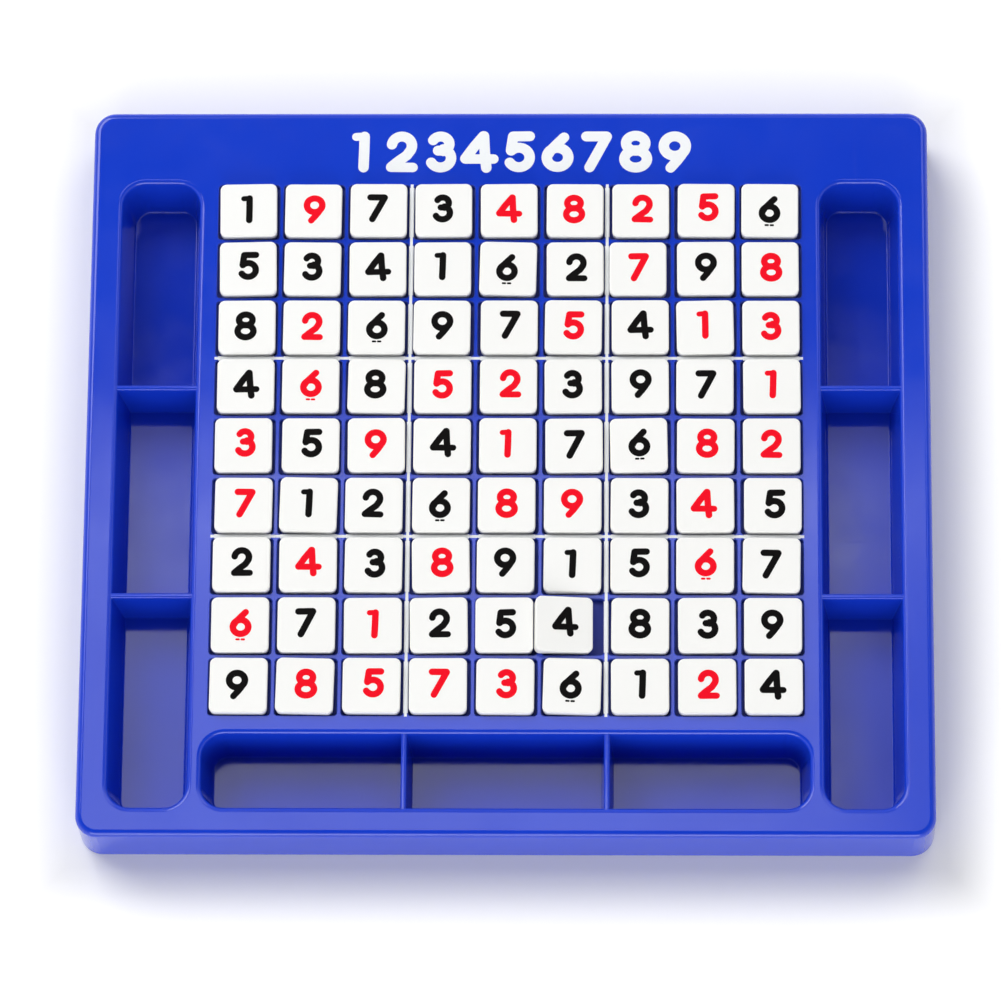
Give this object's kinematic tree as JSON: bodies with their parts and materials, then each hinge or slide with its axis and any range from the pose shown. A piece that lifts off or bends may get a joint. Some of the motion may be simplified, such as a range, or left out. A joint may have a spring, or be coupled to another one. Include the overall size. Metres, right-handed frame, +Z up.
{
  "type": "sudoku board",
  "caption": "Moulded tray board with a recessed grid of loose number tiles and divided storage trays along both sides and the front",
  "frame": {"origin": "middle of the board's footprint, on the surface that the skirt stands on", "axes": "+X to the right along a row of cells, +Y away from the player towards the title band, +Z up"},
  "size_m": [0.256, 0.228, 0.0284],
  "materials": {
    "board": "glossy moulded blue plastic",
    "tile_black_number": "satin white plastic with a black printed number",
    "tile_red_number": "satin white plastic with a red printed number"
  },
  "bodies": {
    "board": {"board": "board"},
    "black_r1c1_1": {"black_r1c1_1": "tile_black_number"},
    "black_r1c3_7": {"black_r1c3_7": "tile_black_number"},
    "black_r1c4_3": {"black_r1c4_3": "tile_black_number"},
    "black_r1c9_6": {"black_r1c9_6": "tile_black_number"},
    "black_r2c1_5": {"black_r2c1_5": "tile_black_number"},
    "black_r2c2_3": {"black_r2c2_3": "tile_black_number"},
    "black_r2c3_4": {"black_r2c3_4": "tile_black_number"},
    "black_r2c4_1": {"black_r2c4_1": "tile_black_number"},
    "black_r2c5_6": {"black_r2c5_6": "tile_black_number"},
    "black_r2c6_2": {"black_r2c6_2": "tile_black_number"},
    "black_r2c8_9": {"black_r2c8_9": "tile_black_number"},
    "black_r3c1_8": {"black_r3c1_8": "tile_black_number"},
    "black_r3c3_6": {"black_r3c3_6": "tile_black_number"},
    "black_r3c4_9": {"black_r3c4_9": "tile_black_number"},
    "black_r3c5_7": {"black_r3c5_7": "tile_black_number"},
    "black_r3c7_4": {"black_r3c7_4": "tile_black_number"},
    "black_r4c1_4": {"black_r4c1_4": "tile_black_number"},
    "black_r4c3_8": {"black_r4c3_8": "tile_black_number"},
    "black_r4c6_3": {"black_r4c6_3": "tile_black_number"},
    "black_r4c7_9": {"black_r4c7_9": "tile_black_number"},
    "black_r4c8_7": {"black_r4c8_7": "tile_black_number"},
    "black_r5c2_5": {"black_r5c2_5": "tile_black_number"},
    "black_r5c4_4": {"black_r5c4_4": "tile_black_number"},
    "black_r5c6_7": {"black_r5c6_7": "tile_black_number"},
    "black_r5c7_6": {"black_r5c7_6": "tile_black_number"},
    "black_r6c2_1": {"black_r6c2_1": "tile_black_number"},
    "black_r6c3_2": {"black_r6c3_2": "tile_black_number"},
    "black_r6c4_6": {"black_r6c4_6": "tile_black_number"},
    "black_r6c7_3": {"black_r6c7_3": "tile_black_number"},
    "black_r6c9_5": {"black_r6c9_5": "tile_black_number"},
    "black_r7c1_2": {"black_r7c1_2": "tile_black_number"},
    "black_r7c3_3": {"black_r7c3_3": "tile_black_number"},
    "black_r7c5_9": {"black_r7c5_9": "tile_black_number"},
    "black_r7c6_1": {"black_r7c6_1": "tile_black_number"},
    "black_r7c7_5": {"black_r7c7_5": "tile_black_number"},
    "black_r7c9_7": {"black_r7c9_7": "tile_black_number"},
    "black_r8c2_7": {"black_r8c2_7": "tile_black_number"},
    "black_r8c4_2": {"black_r8c4_2": "tile_black_number"},
    "black_r8c5_5": {"black_r8c5_5": "tile_black_number"},
    "black_r8c6_4": {"black_r8c6_4": "tile_black_number"},
    "black_r8c7_8": {"black_r8c7_8": "tile_black_number"},
    "black_r8c8_3": {"black_r8c8_3": "tile_black_number"},
    "black_r8c9_9": {"black_r8c9_9": "tile_black_number"},
    "black_r9c1_9": {"black_r9c1_9": "tile_black_number"},
    "black_r9c6_6": {"black_r9c6_6": "tile_black_number"},
    "black_r9c7_1": {"black_r9c7_1": "tile_black_number"},
    "black_r9c9_4": {"black_r9c9_4": "tile_black_number"},
    "red_tiles_1": {"red_tiles_1": "tile_red_number"},
    "red_tiles_2": {"red_tiles_2": "tile_red_number"},
    "red_tiles_3": {"red_tiles_3": "tile_red_number"},
    "red_tiles_4": {"red_tiles_4": "tile_red_number"},
    "red_tiles_5": {"red_tiles_5": "tile_red_number"},
    "red_tiles_6": {"red_tiles_6": "tile_red_number"},
    "red_tiles_7": {"red_tiles_7": "tile_red_number"},
    "red_tiles_8": {"red_tiles_8": "tile_red_number"},
    "red_tiles_9": {"red_tiles_9": "tile_red_number"}
  },
  "joints": [
    {"name": "lift_black_r1c1_1", "type": "slide", "parent": "board", "child": "black_r1c1_1", "axis": [0, 0, 1], "range_m": [0, 0.03]},
    {"name": "lift_black_r1c3_7", "type": "slide", "parent": "board", "child": "black_r1c3_7", "axis": [0, 0, 1], "range_m": [0, 0.03]},
    {"name": "lift_black_r1c4_3", "type": "slide", "parent": "board", "child": "black_r1c4_3", "axis": [0, 0, 1], "range_m": [0, 0.03]},
    {"name": "lift_black_r1c9_6", "type": "slide", "parent": "board", "child": "black_r1c9_6", "axis": [0, 0, 1], "range_m": [0, 0.03]},
    {"name": "lift_black_r2c1_5", "type": "slide", "parent": "board", "child": "black_r2c1_5", "axis": [0, 0, 1], "range_m": [0, 0.03]},
    {"name": "lift_black_r2c2_3", "type": "slide", "parent": "board", "child": "black_r2c2_3", "axis": [0, 0, 1], "range_m": [0, 0.03]},
    {"name": "lift_black_r2c3_4", "type": "slide", "parent": "board", "child": "black_r2c3_4", "axis": [0, 0, 1], "range_m": [0, 0.03]},
    {"name": "lift_black_r2c4_1", "type": "slide", "parent": "board", "child": "black_r2c4_1", "axis": [0, 0, 1], "range_m": [0, 0.03]},
    {"name": "lift_black_r2c5_6", "type": "slide", "parent": "board", "child": "black_r2c5_6", "axis": [0, 0, 1], "range_m": [0, 0.03]},
    {"name": "lift_black_r2c6_2", "type": "slide", "parent": "board", "child": "black_r2c6_2", "axis": [0, 0, 1], "range_m": [0, 0.03]},
    {"name": "lift_black_r2c8_9", "type": "slide", "parent": "board", "child": "black_r2c8_9", "axis": [0, 0, 1], "range_m": [0, 0.03]},
    {"name": "lift_black_r3c1_8", "type": "slide", "parent": "board", "child": "black_r3c1_8", "axis": [0, 0, 1], "range_m": [0, 0.03]},
    {"name": "lift_black_r3c3_6", "type": "slide", "parent": "board", "child": "black_r3c3_6", "axis": [0, 0, 1], "range_m": [0, 0.03]},
    {"name": "lift_black_r3c4_9", "type": "slide", "parent": "board", "child": "black_r3c4_9", "axis": [0, 0, 1], "range_m": [0, 0.03]},
    {"name": "lift_black_r3c5_7", "type": "slide", "parent": "board", "child": "black_r3c5_7", "axis": [0, 0, 1], "range_m": [0, 0.03]},
    {"name": "lift_black_r3c7_4", "type": "slide", "parent": "board", "child": "black_r3c7_4", "axis": [0, 0, 1], "range_m": [0, 0.03]},
    {"name": "lift_black_r4c1_4", "type": "slide", "parent": "board", "child": "black_r4c1_4", "axis": [0, 0, 1], "range_m": [0, 0.03]},
    {"name": "lift_black_r4c3_8", "type": "slide", "parent": "board", "child": "black_r4c3_8", "axis": [0, 0, 1], "range_m": [0, 0.03]},
    {"name": "lift_black_r4c6_3", "type": "slide", "parent": "board", "child": "black_r4c6_3", "axis": [0, 0, 1], "range_m": [0, 0.03]},
    {"name": "lift_black_r4c7_9", "type": "slide", "parent": "board", "child": "black_r4c7_9", "axis": [0, 0, 1], "range_m": [0, 0.03]},
    {"name": "lift_black_r4c8_7", "type": "slide", "parent": "board", "child": "black_r4c8_7", "axis": [0, 0, 1], "range_m": [0, 0.03]},
    {"name": "lift_black_r5c2_5", "type": "slide", "parent": "board", "child": "black_r5c2_5", "axis": [0, 0, 1], "range_m": [0, 0.03]},
    {"name": "lift_black_r5c4_4", "type": "slide", "parent": "board", "child": "black_r5c4_4", "axis": [0, 0, 1], "range_m": [0, 0.03]},
    {"name": "lift_black_r5c6_7", "type": "slide", "parent": "board", "child": "black_r5c6_7", "axis": [0, 0, 1], "range_m": [0, 0.03]},
    {"name": "lift_black_r5c7_6", "type": "slide", "parent": "board", "child": "black_r5c7_6", "axis": [0, 0, 1], "range_m": [0, 0.03]},
    {"name": "lift_black_r6c2_1", "type": "slide", "parent": "board", "child": "black_r6c2_1", "axis": [0, 0, 1], "range_m": [0, 0.03]},
    {"name": "lift_black_r6c3_2", "type": "slide", "parent": "board", "child": "black_r6c3_2", "axis": [0, 0, 1], "range_m": [0, 0.03]},
    {"name": "lift_black_r6c4_6", "type": "slide", "parent": "board", "child": "black_r6c4_6", "axis": [0, 0, 1], "range_m": [0, 0.03]},
    {"name": "lift_black_r6c7_3", "type": "slide", "parent": "board", "child": "black_r6c7_3", "axis": [0, 0, 1], "range_m": [0, 0.03]},
    {"name": "lift_black_r6c9_5", "type": "slide", "parent": "board", "child": "black_r6c9_5", "axis": [0, 0, 1], "range_m": [0, 0.03]},
    {"name": "lift_black_r7c1_2", "type": "slide", "parent": "board", "child": "black_r7c1_2", "axis": [0, 0, 1], "range_m": [0, 0.03]},
    {"name": "lift_black_r7c3_3", "type": "slide", "parent": "board", "child": "black_r7c3_3", "axis": [0, 0, 1], "range_m": [0, 0.03]},
    {"name": "lift_black_r7c5_9", "type": "slide", "parent": "board", "child": "black_r7c5_9", "axis": [0, 0, 1], "range_m": [0, 0.03]},
    {"name": "lift_black_r7c6_1", "type": "slide", "parent": "board", "child": "black_r7c6_1", "axis": [0, 0, 1], "range_m": [0, 0.03]},
    {"name": "lift_black_r7c7_5", "type": "slide", "parent": "board", "child": "black_r7c7_5", "axis": [0, 0, 1], "range_m": [0, 0.03]},
    {"name": "lift_black_r7c9_7", "type": "slide", "parent": "board", "child": "black_r7c9_7", "axis": [0, 0, 1], "range_m": [0, 0.03]},
    {"name": "lift_black_r8c2_7", "type": "slide", "parent": "board", "child": "black_r8c2_7", "axis": [0, 0, 1], "range_m": [0, 0.03]},
    {"name": "lift_black_r8c4_2", "type": "slide", "parent": "board", "child": "black_r8c4_2", "axis": [0, 0, 1], "range_m": [0, 0.03]},
    {"name": "lift_black_r8c5_5", "type": "slide", "parent": "board", "child": "black_r8c5_5", "axis": [0, 0, 1], "range_m": [0, 0.03]},
    {"name": "lift_black_r8c6_4", "type": "slide", "parent": "board", "child": "black_r8c6_4", "axis": [0, 0, 1], "range_m": [0, 0.03]},
    {"name": "lift_black_r8c7_8", "type": "slide", "parent": "board", "child": "black_r8c7_8", "axis": [0, 0, 1], "range_m": [0, 0.03]},
    {"name": "lift_black_r8c8_3", "type": "slide", "parent": "board", "child": "black_r8c8_3", "axis": [0, 0, 1], "range_m": [0, 0.03]},
    {"name": "lift_black_r8c9_9", "type": "slide", "parent": "board", "child": "black_r8c9_9", "axis": [0, 0, 1], "range_m": [0, 0.03]},
    {"name": "lift_black_r9c1_9", "type": "slide", "parent": "board", "child": "black_r9c1_9", "axis": [0, 0, 1], "range_m": [0, 0.03]},
    {"name": "lift_black_r9c6_6", "type": "slide", "parent": "board", "child": "black_r9c6_6", "axis": [0, 0, 1], "range_m": [0, 0.03]},
    {"name": "lift_black_r9c7_1", "type": "slide", "parent": "board", "child": "black_r9c7_1", "axis": [0, 0, 1], "range_m": [0, 0.03]},
    {"name": "lift_black_r9c9_4", "type": "slide", "parent": "board", "child": "black_r9c9_4", "axis": [0, 0, 1], "range_m": [0, 0.03]},
    {"name": "lift_red_tiles_1", "type": "slide", "parent": "board", "child": "red_tiles_1", "axis": [0, 0, 1], "range_m": [0, 0.03]},
    {"name": "lift_red_tiles_2", "type": "slide", "parent": "board", "child": "red_tiles_2", "axis": [0, 0, 1], "range_m": [0, 0.03]},
    {"name": "lift_red_tiles_3", "type": "slide", "parent": "board", "child": "red_tiles_3", "axis": [0, 0, 1], "range_m": [0, 0.03]},
    {"name": "lift_red_tiles_4", "type": "slide", "parent": "board", "child": "red_tiles_4", "axis": [0, 0, 1], "range_m": [0, 0.03]},
    {"name": "lift_red_tiles_5", "type": "slide", "parent": "board", "child": "red_tiles_5", "axis": [0, 0, 1], "range_m": [0, 0.03]},
    {"name": "lift_red_tiles_6", "type": "slide", "parent": "board", "child": "red_tiles_6", "axis": [0, 0, 1], "range_m": [0, 0.03]},
    {"name": "lift_red_tiles_7", "type": "slide", "parent": "board", "child": "red_tiles_7", "axis": [0, 0, 1], "range_m": [0, 0.03]},
    {"name": "lift_red_tiles_8", "type": "slide", "parent": "board", "child": "red_tiles_8", "axis": [0, 0, 1], "range_m": [0, 0.03]},
    {"name": "lift_red_tiles_9", "type": "slide", "parent": "board", "child": "red_tiles_9", "axis": [0, 0, 1], "range_m": [0, 0.03]}
  ]
}
